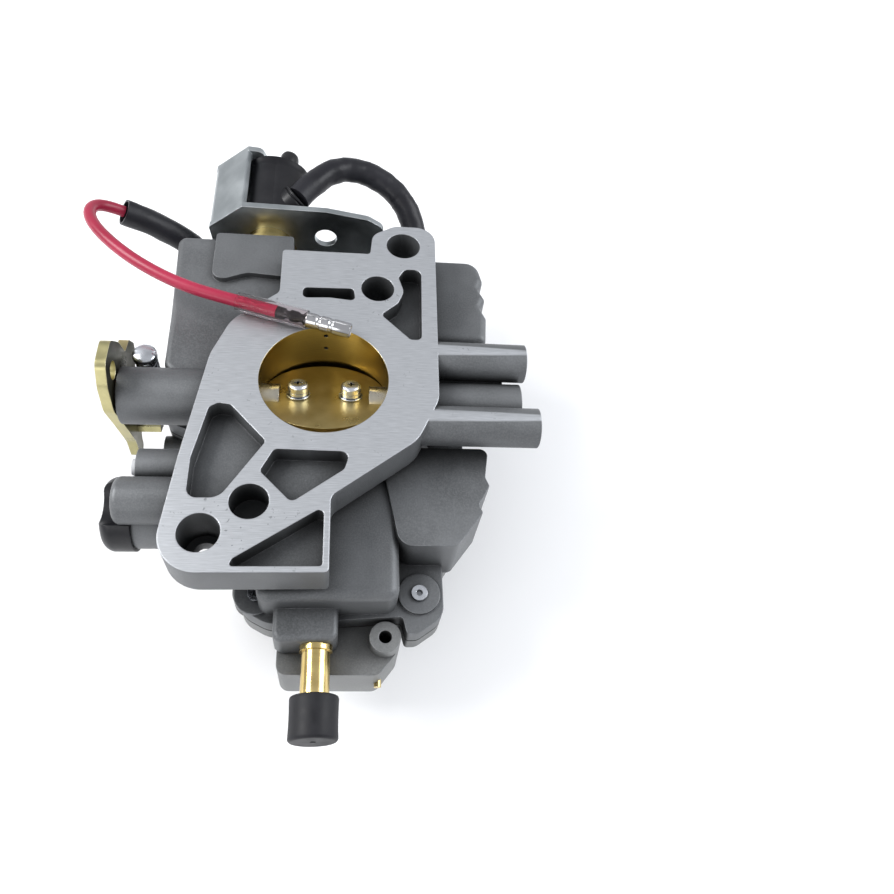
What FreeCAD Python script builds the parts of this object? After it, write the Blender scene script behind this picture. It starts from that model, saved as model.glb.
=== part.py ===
"""Carburetor for a small V-twin engine, as an assembly of separate solids, in millimetres.

The part stands on its air-horn face. +Z runs along the bore to the machined engine flange, +Y towards the
fuel shut-off solenoid, and the origin is on the bore axis at the air-horn face.
"""
import FreeCAD, Part
import math
import os

from FreeCAD import Vector as V

# ---- driving dimensions ------------------------------------------------------------------------------------
HEIGHT = 64.0            # air-horn face to engine-flange face
SPLIT = 34.0             # parting plane between the two castings
GASKET_T = 0.8
BORE_R = 16.0
FLANGE_T = 10.0          # engine flange
POCKET_DEPTH = 5.0
AIR_FLANGE_T = 7.0

STUD_A = (20.8, 46.7)    # engine stud holes, through both castings
STUD_B = (-25.9, -42.3)
STUD_R = 4.7
STUD_B_DEPTH = 12.0      # the lower hole narrows below this depth
STUD_B_TIP_R = 2.9
DOWEL_A = (13.5, 30.3)   # blind holes on the engine face
DOWEL_B = (-15.7, -34.6)
DOWEL_R = 4.45
DOWEL_A_DEPTH = 18.0
DOWEL_B_DEPTH = 8.0

SHAFT_R = 4.0
SHAFT_Z = HEIGHT - 10.0
SHAFT_LEFT = -50.0       # outer end of the throttle-shaft boss
SHAFT_RIGHT = 46.0
SHAFT_BOSS_R = 7.25
THROTTLE_OPEN = 25.0     # degrees that the plate stands open at rest
PLATE_T = 1.5
PLATE_SCREW_X = 6.7

CHOKE_Z = 18.0
CHOKE_BORE_R = 17.2
CHOKE_SHAFT_R = 3.0
THROAT_R = 13.0
AIR_MOUTH_R = 21.0

CHAMBER_LOW = (-11.0, -48.0, 8.0)      # float chamber, low and high corners
CHAMBER_HIGH = (15.5, -26.0, 46.0)

INLET_X = -0.5
INLET_Z = HEIGHT - 25.5
INLET_R = 3.4
INLET_FACE = -60.0       # end of the inlet boss
INLET_END = -80.3        # free end of the inlet tube
CAP_R = 5.7

SOLENOID_X = -17.5
SOLENOID_Z = HEIGHT - 13.0
SOLENOID_SEAT = 53.0     # top of the casting under the solenoid
FRAME_T = 1.8
FRAME_LOW = 57.5         # underside of the frame's lower plate
FRAME_HIGH = 83.2        # top of its upper plate
FRAME_HOLE = (-1.2, HEIGHT - 9.0)      # (x, z) of the hole in the frame's tail
FRAME_HOLE_R = 3.2
COIL_TURN = 12.0         # degrees that the coil's front block is turned about the solenoid's own axis

STOP_X, STOP_Y = -46.2, 11.8           # idle speed screw
STOP_SCREW_R = 1.5
MIXTURE_R = 2.0
MIXTURE_Y, MIXTURE_Z = -20.6, HEIGHT - 10.5
MIXTURE_FACE = -43.2
PLUG_Y, PLUG_Z = -29.2, HEIGHT - 18.0  # round black plug on the left side
PLUG_FACE = -43.6
FLOAT_PIN_Y = -44.0
FLOAT_PIN_Z = HEIGHT - 21.0
FLOAT_PIN_R = 1.15

FLOAT_TOP = 30.0
NOZZLE_X, NOZZLE_Z = 2.0, SPLIT - 5.5
PASSAGE_PLUG_X, PASSAGE_PLUG_Z = 14.6, SPLIT - GASKET_T - 8.0

LEVER_T = 2.5
LEVER_HOLE = (0.6, HEIGHT - 0.4)      # (y, z) of the throttle link's hole
LINK_HOLE_R = 2.3
STOP_TIP_Z = HEIGHT - 25.2             # lower end of the idle speed screw
STOP_SEAT_Z = HEIGHT - 9.8             # underside of its head
STOP_CLOSED = 24.0       # degrees that the throttle turns from here until the tab meets the screw
TAB_GAP = 0.3
CHOKE_LEVER_X = 30.4
CHOKE_LINK_HOLE = (-5.4, CHOKE_Z + 5.8)
WASHER_T = 1.6                         # flat and lock washer under a throttle plate screw

LEAD_R = 3.5                           # black sleeve over the coil's lead
WIRE_R = 1.6                           # red wire
TERMINAL_L = 19.5
STUB_START = (SOLENOID_X + 1.0, 72.0, SOLENOID_Z + 7.0)    # second outlet of the coil
STUB_END = (SOLENOID_X + 5.0, 86.0, SOLENOID_Z + 9.0)

RUN_FIT = 0.05           # radial clearance of a running fit

X_AXIS = V(1, 0, 0)
Y_AXIS = V(0, 1, 0)
Z_AXIS = V(0, 0, 1)


# ---- helpers -----------------------------------------------------------------------------------------------
def box(low, high):
    """A box between two corners."""
    size = [b - a for a, b in zip(low, high)]
    return Part.makeBox(size[0], size[1], size[2], V(*low))


def rod(radius, start, end):
    """A cylinder from one point to another."""
    a, b = V(*start), V(*end)
    return Part.makeCylinder(radius, (b - a).Length, a, b - a)


def cone(radius_a, radius_b, start, end):
    """A cone from one point to another."""
    a, b = V(*start), V(*end)
    return Part.makeCone(radius_a, radius_b, (b - a).Length, a, b - a)


def fuse(shapes):
    """All the shapes as one solid."""
    first, rest = shapes[0], shapes[1:]
    return first.multiFuse(rest).removeSplitter() if rest else first


def rounded_wire(points, radius):
    """A closed wire through points (x, y) or (x, y, own radius), with a tangent arc at each corner."""
    edges = []
    arcs = []
    count = len(points)
    for i, corner in enumerate(points):
        own = corner[2] if len(corner) > 2 else radius
        here = V(corner[0], corner[1], 0)
        back = V(points[i - 1][0], points[i - 1][1], 0) - here
        ahead = V(points[(i + 1) % count][0], points[(i + 1) % count][1], 0) - here
        half_turn = (math.pi - back.getAngle(ahead)) / 2
        room = min(back.Length, ahead.Length) * 0.49
        reach = min(own * math.tan(half_turn), room)
        own = reach / math.tan(half_turn) if half_turn > 1e-6 else 0
        back.normalize()
        ahead.normalize()
        start, end = here + back * reach, here + ahead * reach
        if own < 0.05:
            arcs.append((here, None, here))
            continue
        inward = back + ahead
        inward.normalize()
        centre = here + inward * (own / math.cos(half_turn))
        arcs.append((start, centre - inward * own, end))
    for i, (start, middle, end) in enumerate(arcs):
        if middle is not None:
            edges.append(Part.Arc(start, middle, end).toShape())
        following = arcs[(i + 1) % count][0]
        if (following - end).Length > 1e-6:
            edges.append(Part.LineSegment(end, following).toShape())
    return Part.Wire(edges)


def slab(points, low, high, radius=1.0):
    """A prism from z = low to z = high with rounded vertical edges."""
    face = Part.Face(rounded_wire(points, radius))
    face.translate(V(0, 0, low))
    return face.extrude(V(0, 0, high - low))


def side_plate(points, x_low, x_high, radius=1.0):
    """A plate across X from x_low to x_high, with its outline given as (y, z)."""
    solid = slab(points, 0, x_high - x_low, radius)
    # turns x to y, y to z and z to x
    solid = solid.transformGeometry(FreeCAD.Matrix(0, 0, 1, x_low, 1, 0, 0, 0, 0, 1, 0, 0))
    return solid


def turned(solid, degrees, centre, axis):
    """A turned copy."""
    copy = solid.copy()
    copy.rotate(V(*centre), axis, degrees)
    return copy


def softened(solid, radius, test):
    """Fillets the edges that pass the test, or returns the solid as it was when they can't be filleted."""
    edges = [edge for edge in solid.Edges if test(edge)]
    if not edges:
        return solid
    try:
        result = solid.makeFillet(radius, edges)
    except Exception:
        return solid
    return result if result.isValid() and result.Volume > 0 else solid


def at_height(z, slack=0.01):
    """A test for edges that lie in the plane at height z."""
    return lambda edge: edge.BoundBox.ZMin > z - slack and edge.BoundBox.ZMax < z + slack


def export(name, shape):
    """Writes one node."""
    shape.exportStep(os.path.join("parts", name + ".step"))


# ---- outlines ----------------------------------------------------------------------------------------------
ENGINE_FLANGE = [
    (-12.4, 43.0, 1.0), (11.5, 43.0, 1.0), (12.2, 50.5, 4.0), (18.5, 54.3, 5.0), (30.0, 54.3, 7.5),
    (29.0, 10.0, 3.0), (28.6, -5.5, 8.0), (23.0, -17.5, 10.0), (2.4, -33.0, 3.0), (2.4, -51.6, 1.0),
    (-35.5, -51.6, 9.0), (-32.4, -23.0, 12.0), (-28.2, 6.5, 14.0), (-24.0, 17.5, 10.0),
    (-12.4, 27.6, 2.5),
]
POCKETS = [
    # long pocket beside the right-hand edge
    [(19.2, 34.6, 1.2), (21.0, 37.8, 2.0), (25.6, 37.8, 2.4), (24.9, 13.1, 2.0), (21.9, 13.1, 1.4),
     (14.3, 21.2, 1.2), (18.9, 25.4, 3.0), (20.6, 29.6, 4.0)],
    # left pocket
    [(-24.9, -8.2, 1.8), (-22.0, -8.6, 1.8), (-13.0, -18.8, 1.2), (-22.4, -33.8, 4.0),
     (-29.6, -33.8, 2.4), (-29.6, -23.5, 3.0), (-26.9, -9.5, 1.5)],
    # middle pocket
    [(-11.0, -20.8, 1.5), (6.8, -21.2, 2.2), (5.4, -26.0, 2.0), (-6.4, -34.8, 1.6), (-13.9, -26.8, 1.2)],
    # lower triangle
    [(1.0, -35.6, 1.2), (1.0, -50.2, 0.8), (-19.0, -50.2, 1.0), (-18.2, -48.4, 0.8)],
]
AIR_FLANGE = [
    (12.0, 39.1, 6.0), (20.6, 37.4, 6.0), (41.8, 5.0, 5.0), (31.1, -18.6, 5.0), (26.0, -21.6, 4.0),
    (-17.0, -40.6, 6.0), (-25.2, -38.0, 5.0), (-26.8, 25.5, 4.0), (-21.8, 31.2, 4.0), (2.0, 36.4, 8.0),
]
AIR_BOLTS = [(15.2, 31.5), (26.1, -14.7), (-17.5, -34.2)]
AIR_BOLT_R = 4.5
PARTING = [
    (-43.0, 53.0, 4.0), (44.5, 51.5, 6.0), (44.5, 20.0, 3.0), (38.0, 12.0, 3.0), (38.0, -12.0, 3.0),
    (43.0, -16.0, 3.0), (39.0, -28.0, 4.0), (30.4, -35.5, 3.0), (30.4, -53.0, 5.0), (24.0, -57.3, 3.0),
    (21.2, -57.3, 1.0), (20.2, -53.0, 1.0), (-12.0, -54.6, 8.0), (-19.3, -50.5, 6.0), (-19.5, -40.0, 4.0),
    (-27.0, -31.0, 4.0), (-27.0, -5.0, 4.0), (-43.0, 2.5, 4.0),
]
# blocks of the front casting, each standing on the parting plane
TANK = [(-42.3, 53.0, 2.5), (-10.0, 53.0), (-10.0, 5.0), (-40.6, 5.0, 4.0), (-41.0, 25.0, 30.0)]
TANK_STEP = [(-31.5, 53.0), (-10.0, 53.0), (-10.0, 37.5), (-22.0, 38.5, 6.0), (-31.5, 34.5, 3.0)]
BLOCK_RIGHT = [
    (22.0, 51.3, 2.0), (43.5, 51.3, 4.5), (45.0, 44.0, 2.0), (43.6, 40.5), (45.2, 37.0, 1.5),
    (43.6, 33.5), (45.0, 30.0, 1.5), (44.2, 21.0, 1.5), (22.0, 21.0),
]
BLOCK_LOW = [
    (14.0, -12.0, 2.0), (42.6, -12.0, 2.0), (41.2, -20.5, 2.0), (42.2, -23.0), (38.9, -28.5, 2.0),
    (40.0, -30.5), (33.0, -39.5, 2.0), (19.0, -39.5, 4.0),
]
BULGE = [(-14.5, -52.3, 3.0), (18.9, -52.3, 3.2), (18.9, -24.0, 8.0), (12.0, -12.0, 5.0), (-14.5, -12.0, 2.0)]
INLET_BOSS = [(-10.6, INLET_FACE, 2.2), (4.6, INLET_FACE, 2.2), (4.6, -44.0), (-10.6, -44.0)]
# blocks of the rear casting, each hanging from the parting plane
BOWL = [(-14.0, -51.5, 4.0), (18.5, -51.5, 4.0), (18.5, -12.0, 2.0), (-14.0, -12.0, 2.0)]
LEDGE = [(-10.0, -65.0, 2.5), (14.5, -65.6, 3.0), (18.9, -60.2, 2.0), (18.9, -48.0), (-10.0, -48.0)]
REAR_TANK = [(-42.0, 52.0, 4.0), (-10.0, 52.0, 2.0), (-10.0, 5.0, 2.0), (-40.0, 5.0, 4.0)]
REAR_RIGHT = [(20.0, 50.5, 2.0), (43.0, 50.5, 5.0), (43.0, 20.0, 3.0), (20.0, 18.0, 2.0)]
REAR_LOW = [
    (14.0, -13.0, 2.0), (41.5, -13.0, 3.0), (38.0, -28.5, 3.0), (31.5, -38.5, 3.0), (14.0, -38.5, 2.0),
]
EAR_SCREWS = [(24.4, -47.4), (-15.2, -47.2), (-38.0, 47.5), (39.5, 46.5)]
EAR_SCREW_R = 2.0
VENT = (16.0, -57.6)
CHOKE_LEVER = [
    (3.4, CHOKE_Z - 3.4, 3.0), (4.0, CHOKE_Z + 2.8, 3.0), (-4.0, CHOKE_Z + 8.9, 2.0),
    (-8.6, CHOKE_Z + 6.4, 2.0), (-4.0, CHOKE_Z - 3.6, 3.0),
]
# throttle lever, seen along X as (y, z, corner radius)
LEVER = [
    (5.2, HEIGHT + 5.4, 3.0), (-2.0, HEIGHT + 5.6, 3.0), (-5.4, HEIGHT + 0.5, 5.0), (-7.0, HEIGHT - 7.0, 6.0),
    (-4.8, HEIGHT - 16.0, 6.0), (-2.0, HEIGHT - 29.0, 5.0), (-2.6, HEIGHT - 36.6, 2.0),
    (1.9, HEIGHT - 37.2, 2.0), (2.4, HEIGHT - 32.6, 3.0), (8.0, HEIGHT - 32.2, 2.0),
    (9.2, HEIGHT - 27.0, 2.0), (7.6, HEIGHT - 18.0, 4.0), (13.6, HEIGHT - 17.0, 2.0), (18.2, HEIGHT - 12.0, 1.5),
    (15.6, HEIGHT - 7.4, 1.2), (11.0, HEIGHT - 6.4, 1.2), (9.2, HEIGHT - 0.4, 2.5),
]
# plates of the solenoid's frame, seen along Y as (x, z, corner radius)
FRAME_LOWER = [
    (-24.5, HEIGHT + 1.3, 0.5), (-34.6, HEIGHT - 7.0), (-33.5, HEIGHT - 18.0, 2.0),
    (-22.0, HEIGHT - 24.5, 6.0), (-6.0, HEIGHT - 23.0, 6.0), (13.5, HEIGHT - 15.0, 3.0),
    (16.0, HEIGHT - 4.4, 3.0), (11.0, HEIGHT - 1.2, 4.0), (-1.0, HEIGHT + 0.9, 9.0),
]
FRAME_UPPER = [
    (-24.5, HEIGHT + 1.3, 0.5), (-34.6, HEIGHT - 7.0), (-33.5, HEIGHT - 18.0, 2.0),
    (-22.0, HEIGHT - 23.0, 6.0), (-11.0, HEIGHT - 21.0, 4.0), (-11.0, HEIGHT - 12.0, 2.0),
    (-18.0, HEIGHT - 5.0, 2.0), (-20.5, HEIGHT + 0.9, 2.0),
]
FRAME_WALL = [
    (-24.5, HEIGHT + 1.3, 0.3), (-34.6, HEIGHT - 7.0, 2.4), (-33.5, HEIGHT - 18.0, 0.3),
    (-31.7, HEIGHT - 18.0, 0.3), (-32.8, HEIGHT - 7.8, 0.8), (-23.4, HEIGHT - 0.2, 0.3),
]
# centre lines of the wiring, each followed by straight runs and tangent arcs
LEAD_ROUTE = [
    (-9.5, 67.5, HEIGHT - 3.5), (-1.5, 79.0, HEIGHT - 1.5), (11.5, 82.5, HEIGHT - 4.5),
    (23.0, 76.0, HEIGHT - 9.5), (27.5, 65.0, HEIGHT - 19.0), (22.5, 59.3, HEIGHT - 32.0),
    (9.0, 58.6, HEIGHT - 41.5), (-7.5, 59.0, HEIGHT - 46.0), (-23.5, 59.6, HEIGHT - 41.0),
    (-35.0, 60.4, HEIGHT - 28.0), (-43.5, 60.8, HEIGHT - 13.5), (-57.5, 59.0, HEIGHT - 4.5),
]
WIRE_ROUTE = [
    (-57.5, 59.0, HEIGHT - 4.5), (-62.265, 58.387, HEIGHT - 1.437), (-64.6, 53.6, HEIGHT + 1.4),
    (-62.6, 46.8, HEIGHT + 2.8), (-56.0, 38.6, HEIGHT + 3.6), (-47.0, 31.2, HEIGHT + 3.6),
    (-36.0, 25.2, HEIGHT + 3.2), (-24.0, 21.6, HEIGHT + 2.9), (-12.5, 18.4, HEIGHT + 2.75),
]


# ---- castings ----------------------------------------------------------------------------------------------
def fuel_chamber():
    """The float chamber, which both castings close."""
    return softened(box(CHAMBER_LOW, CHAMBER_HIGH), 3.0, lambda e: e.Length > 20 and e.BoundBox.ZLength > 20)


def float_pin_rod(overhang):
    """A rod on the float's hinge line, from wall to wall of the chamber and this far into each."""
    return rod(FLOAT_PIN_R, (CHAMBER_LOW[0] - overhang, FLOAT_PIN_Y, FLOAT_PIN_Z),
               (CHAMBER_HIGH[0] + overhang, FLOAT_PIN_Y, FLOAT_PIN_Z))


def ear_pad(x, y, top):
    """The raised pad round a body screw."""
    return Part.makeCylinder(5.2, 1.0, V(x, y, top))


def throttle_body():
    """The front casting, with the engine flange, the throttle bore and the shaft bosses."""
    top = HEIGHT
    flange = slab(ENGINE_FLANGE, top - FLANGE_T, top)
    neck = Part.makeCylinder(BORE_R + 7, top - FLANGE_T - SPLIT, V(0, 0, SPLIT))
    plate = slab(PARTING, SPLIT, SPLIT + 5)
    shaft_boss = rod(SHAFT_BOSS_R, (SHAFT_LEFT, 0, SHAFT_Z), (-15, 0, SHAFT_Z))
    shaft_end = rod(6.2, (15, 0, SHAFT_Z - 1), (51.2, 0, SHAFT_Z - 1))
    # both bosses stand a little proud of the face near the flange, so that facing leaves a tapered flat
    upper_boss = rod(5.1, (20, 10.3, top - 4.90), (52.6, 10.3, top - 5.25))
    lower_boss = rod(5.1, (20, -10.2, top - 4.92), (54.2, -10.2, top - 5.22))
    web = box((20, 0, top - 14), (47, 11, top - 8))
    tank = softened(slab(TANK, SPLIT, top - 6.5), 1.6, at_height(top - 6.5))
    tank_step = slab(TANK_STEP, top - 8, top - 4.8)
    block_right = softened(slab(BLOCK_RIGHT, SPLIT, top - 9), 2.2, at_height(top - 9))
    block_low = softened(slab(BLOCK_LOW, SPLIT, top - 13), 2.2, at_height(top - 13))
    bulge = softened(slab(BULGE, SPLIT, top - 14), 2.5, at_height(top - 14))
    shoulder = Part.makeCone(29.5, 22.0, 12.0, V(2, -6, SPLIT + 2))
    shoulder = shoulder.common(box((-2, -40, SPLIT), (40, -6, top)))
    inlet_top = INLET_Z + INLET_R + 1.8
    inlet_boss = softened(slab(INLET_BOSS, SPLIT, inlet_top), 1.3, at_height(inlet_top))
    mixture_boss = rod(4.7, (MIXTURE_FACE, MIXTURE_Y, MIXTURE_Z), (-15, MIXTURE_Y, MIXTURE_Z))
    plug_arm = rod(5.6, (-47.0, PLUG_Y - 1, top - 8.8), (-20, PLUG_Y - 1, top - 8.8))
    plug_arm = softened(plug_arm, 1.5, lambda e: e.BoundBox.XMax < -46.9)
    plug_case = rod(8.3, (PLUG_FACE, PLUG_Y, PLUG_Z), (-20, PLUG_Y, PLUG_Z))
    stud_pad = Part.makeCylinder(7.0, 6, V(STUD_B[0], STUD_B[1], top - FLANGE_T - 5))
    stop_lug = box((-50.0, 8.0, top - 24), (-40, 15.0, top - 19))
    pads = [ear_pad(x, y, SPLIT + 4.8) for x, y in EAR_SCREWS[:2]]
    body = fuse([flange, neck, plate, shaft_boss, shaft_end, upper_boss, lower_boss, web, tank, tank_step,
                 block_right, block_low, bulge, shoulder, inlet_boss, mixture_boss, plug_arm, plug_case,
                 stud_pad, stop_lug] + pads)
    cuts = [box((15, -20, top), (60, 20, top + 2)), Part.makeCylinder(BORE_R, top, V(0, 0, 0))]
    cuts += [slab(pocket, top - POCKET_DEPTH, top + 1) for pocket in POCKETS]
    cuts.append(slot_pocket())
    cuts.append(fuel_chamber())
    cuts.append(rod(SHAFT_R + RUN_FIT, (SHAFT_LEFT - 1, 0, SHAFT_Z), (SHAFT_RIGHT, 0, SHAFT_Z)))
    cuts.append(Part.makeCylinder(STUD_R, top, V(STUD_A[0], STUD_A[1], 0)))
    cuts.append(Part.makeCylinder(STUD_R, STUD_B_DEPTH, V(STUD_B[0], STUD_B[1], top - STUD_B_DEPTH)))
    cuts.append(Part.makeCylinder(STUD_B_TIP_R, top, V(STUD_B[0], STUD_B[1], 0)))
    cuts.append(box((-38, 10, SPLIT - 1), (-24, 46, top - 11)))
    cuts.append(Part.makeCylinder(DOWEL_R, DOWEL_A_DEPTH + 1, V(DOWEL_A[0], DOWEL_A[1], top - DOWEL_A_DEPTH)))
    cuts.append(Part.makeCylinder(DOWEL_R, DOWEL_B_DEPTH + 1, V(DOWEL_B[0], DOWEL_B[1], top - DOWEL_B_DEPTH)))
    for x, y in EAR_SCREWS[:2]:
        cuts.append(Part.makeCylinder(EAR_SCREW_R, 12, V(x, y, SPLIT - 1)))
    for x, y in EAR_SCREWS[2:]:
        cuts.append(Part.makeCylinder(EAR_SCREW_R, 13, V(x, y, SPLIT - 1)))
    cuts.append(rod(INLET_R, (INLET_X, INLET_FACE - 1, INLET_Z), (INLET_X, -52, INLET_Z)))
    cuts.append(rod(2.9, (INLET_X, -53, INLET_Z), (INLET_X, -47, INLET_Z)))
    cuts.append(rod(MIXTURE_R + RUN_FIT, (-45, MIXTURE_Y, MIXTURE_Z), (-26, MIXTURE_Y, MIXTURE_Z)))
    cuts.append(rod(0.8, (-27, MIXTURE_Y, MIXTURE_Z), (-12, -10.0, MIXTURE_Z)))
    cuts.append(rod(7.2, (-45, PLUG_Y, PLUG_Z), (-35, PLUG_Y, PLUG_Z)))
    cuts.append(rod(0.55, (0, 13, top - 8.5), (0, 24, top - 8.5)))
    cuts.append(rod(0.55, (0, 13, top - 3.4), (0, 24, top - 3.4)))
    cuts.append(rod(4.0, (SOLENOID_X, SOLENOID_SEAT + 1, SOLENOID_Z), (SOLENOID_X, 40, SOLENOID_Z)))
    cuts.append(rod(1.6, (SOLENOID_X, 41, SOLENOID_Z), (SOLENOID_X, 26, SOLENOID_Z)))
    cuts.append(rod(2.25, (SOLENOID_X, 41, SOLENOID_Z), (SOLENOID_X, 37.4, SOLENOID_Z)))
    cuts.append(Part.makeCylinder(4.1, 20, V(VENT[0], VENT[1], SPLIT - 16)))
    cuts.append(Part.makeCylinder(STOP_SCREW_R + RUN_FIT, 8.2, V(STOP_X, STOP_Y, top - 26)))
    cuts.append(float_pin_rod(1.6))
    for cut in cuts:
        body = body.cut(cut)
    return body


def slot_pocket():
    """The narrow pocket beside the upper blind hole, in line with the bore's rim."""
    points = [(-6.4, 29.6, 1.3), (7.0, 29.9, 1.2), (7.6, 25.6, 1.2), (0.8, 26.4, 6.0), (-6.4, 26.0, 1.3)]
    return slab(points, HEIGHT - POCKET_DEPTH, HEIGHT + 1)


def main_body():
    """The rear casting, with the air-horn flange, the venturi and the lower half of the float chamber."""
    top = SPLIT - GASKET_T
    flange = slab(AIR_FLANGE, 0, AIR_FLANGE_T)
    barrel = Part.makeCylinder(AIR_MOUTH_R + 3.6, top, V(0, 0, 0))
    plate = slab(PARTING, top - 5, top)
    bowl = softened(slab(BOWL, 4.0, top), 2.5, at_height(4.0))
    ledge = softened(slab(LEDGE, top - 17, top), 2.0, at_height(top - 17))
    vent_boss = Part.makeCylinder(3.85, 20, V(VENT[0], VENT[1], SPLIT - 16.2))
    tank = softened(slab(REAR_TANK, top - 14, top), 2.5, at_height(top - 14))
    cover_right = softened(slab(REAR_RIGHT, top - 12, top), 2.5, at_height(top - 12))
    cover_low = slab(REAR_LOW, top - 10, top)
    lug = rod(4.2, (-43.8, -0.6, SPLIT - 6.0), (-20, -0.6, SPLIT - 6.0))
    choke_left = rod(5.5, (-33, 0, CHOKE_Z), (-15, 0, CHOKE_Z))
    choke_right = rod(5.5, (15, 0, CHOKE_Z), (29.5, 0, CHOKE_Z))
    body = fuse([flange, barrel, plate, bowl, ledge, tank, cover_right, cover_low, lug, choke_left,
                 choke_right, vent_boss])
    for x, y in AIR_BOLTS:
        body = body.fuse(Part.makeCylinder(AIR_BOLT_R + 2.0, 14, V(x, y, 0)))
    cuts = [
        Part.makeCylinder(AIR_MOUTH_R, 4.0, V(0, 0, -1.0)),
        Part.makeCone(AIR_MOUTH_R, CHOKE_BORE_R, 4.0, V(0, 0, 3.0)),
        Part.makeCylinder(CHOKE_BORE_R, 22.1, V(0, 0, 6.9)),
        Part.makeCone(CHOKE_BORE_R, THROAT_R, 3.0, V(0, 0, 29.0)),
        Part.makeCylinder(THROAT_R, 10, V(0, 0, 31.9)),
        fuel_chamber(),
        rod(CHOKE_SHAFT_R + RUN_FIT, (-30, 0, CHOKE_Z), (30, 0, CHOKE_Z)),
        rod(1.6, (NOZZLE_X, -28, NOZZLE_Z), (NOZZLE_X, -10, NOZZLE_Z)),
        rod(0.9, (PASSAGE_PLUG_X, -70, PASSAGE_PLUG_Z), (PASSAGE_PLUG_X, -61.0, PASSAGE_PLUG_Z)),
        Part.makeCylinder(1.6, 12, V(VENT[0], VENT[1], SPLIT - 7)),
    ]
    cuts.append(Part.makeCylinder(STUD_R, HEIGHT, V(STUD_A[0], STUD_A[1], -1)))
    cuts += [Part.makeCylinder(AIR_BOLT_R, 12, V(x, y, -1)) for x, y in AIR_BOLTS]
    cuts += [Part.makeCylinder(EAR_SCREW_R + 0.15, top, V(x, y, 0)) for x, y in EAR_SCREWS]
    cuts += [Part.makeCylinder(4.2, top - 5.0 + 0.001, V(x, y, 0)) for x, y in EAR_SCREWS]
    for cut in cuts:
        body = body.cut(cut)
    return body


def body_gasket():
    """The gasket between the castings."""
    sheet = slab(PARTING, SPLIT - GASKET_T, SPLIT)
    sheet = sheet.cut(Part.makeCylinder(BORE_R + 0.6, HEIGHT))
    sheet = sheet.cut(fuel_chamber())
    sheet = sheet.cut(Part.makeCylinder(STUD_R + 0.3, HEIGHT, V(STUD_A[0], STUD_A[1], 0)))
    sheet = sheet.cut(Part.makeCylinder(4.1, HEIGHT, V(VENT[0], VENT[1], 0)))
    for x, y in EAR_SCREWS:
        sheet = sheet.cut(Part.makeCylinder(EAR_SCREW_R + 0.15, HEIGHT, V(x, y, 0)))
    return sheet


# ---- throttle ----------------------------------------------------------------------------------------------
def throttle_pose(solid):
    """Turns a piece drawn with the throttle shut to where the throttle stands."""
    return turned(solid, -THROTTLE_OPEN, (0, 0, SHAFT_Z), X_AXIS)


def pan_screw(x, y, z, shank_r, shank_l, head_r, head_h):
    """A pan-head screw with a cross recess, its head seat at z and its shank pointing down."""
    head = Part.makeCylinder(head_r, head_h, V(x, y, z))
    head = softened(head, head_h * 0.45, at_height(z + head_h))
    recess = box((x - 0.35 * head_r, y - 0.1 * head_r, z + 0.4 * head_h),
                 (x + 0.35 * head_r, y + 0.1 * head_r, z + 5))
    cross = recess.fuse(turned(recess, 90, (x, y, z), Z_AXIS))
    shank = Part.makeCylinder(shank_r, shank_l, V(x, y, z - shank_l))
    return head.fuse(shank).cut(cross)


def throttle_shaft():
    """The throttle shaft, flat between its round ends, with slots for the plate's edges."""
    shaft = rod(SHAFT_R, (SHAFT_LEFT - 0.4, 0, SHAFT_Z), (SHAFT_RIGHT - 0.4, 0, SHAFT_Z))
    end = rod(3.0, (SHAFT_LEFT - 3.6, 0, SHAFT_Z), (SHAFT_LEFT - 0.4, 0, SHAFT_Z))
    shaft = shaft.fuse(end)
    shaft = shaft.cut(box((-11.4, -5, SHAFT_Z), (11.4, 5, SHAFT_Z + 5)))
    shaft = shaft.cut(box((-BORE_R + 0.05, -5, SHAFT_Z), (BORE_R - 0.05, 5, SHAFT_Z + PLATE_T)))
    for side in (-1, 1):
        shaft = shaft.cut(Part.makeCylinder(1.5, 10, V(side * PLATE_SCREW_X, 0, SHAFT_Z - 5)))
    return throttle_pose(shaft)


def throttle_plate():
    """The round butterfly plate on the shaft's flat."""
    plate = Part.makeCylinder(BORE_R - 0.15, PLATE_T, V(0, 0, SHAFT_Z))
    for side in (-1, 1):
        plate = plate.cut(Part.makeCylinder(1.5, 4, V(side * PLATE_SCREW_X, 0, SHAFT_Z - 1)))
    return throttle_pose(plate)


def throttle_plate_screws():
    """The two screws through the plate."""
    seat = SHAFT_Z + PLATE_T + WASHER_T
    screws = [pan_screw(side * PLATE_SCREW_X, 0, seat, 1.5, 7.6, 2.65, 2.0) for side in (-1, 1)]
    return throttle_pose(Part.makeCompound(screws))


def throttle_screw_washers():
    """A flat washer and a split lock washer, as one stack, under each screw head."""
    stacks = []
    for side in (-1, 1):
        x = side * PLATE_SCREW_X
        base = SHAFT_Z + PLATE_T
        stack = Part.makeCylinder(3.1, 0.5, V(x, 0, base))
        stack = stack.fuse(Part.makeCylinder(2.6, WASHER_T - 0.5, V(x, 0, base + 0.5)))
        stacks.append(stack.cut(Part.makeCylinder(1.5, 4, V(x, 0, base - 1))))
    return throttle_pose(Part.makeCompound(stacks))


def throttle_lever():
    """The throttle lever on the shaft's left end."""
    inner = SHAFT_LEFT - 0.4
    plate = side_plate(LEVER, inner - LEVER_T, inner, 2.0)
    plate = plate.cut(rod(3.0, (inner - LEVER_T - 1, 0, SHAFT_Z), (inner + 1, 0, SHAFT_Z)))
    return plate.cut(rod(LINK_HOLE_R, (inner - LEVER_T - 1, *LEVER_HOLE), (inner + 1, *LEVER_HOLE)))


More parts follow.
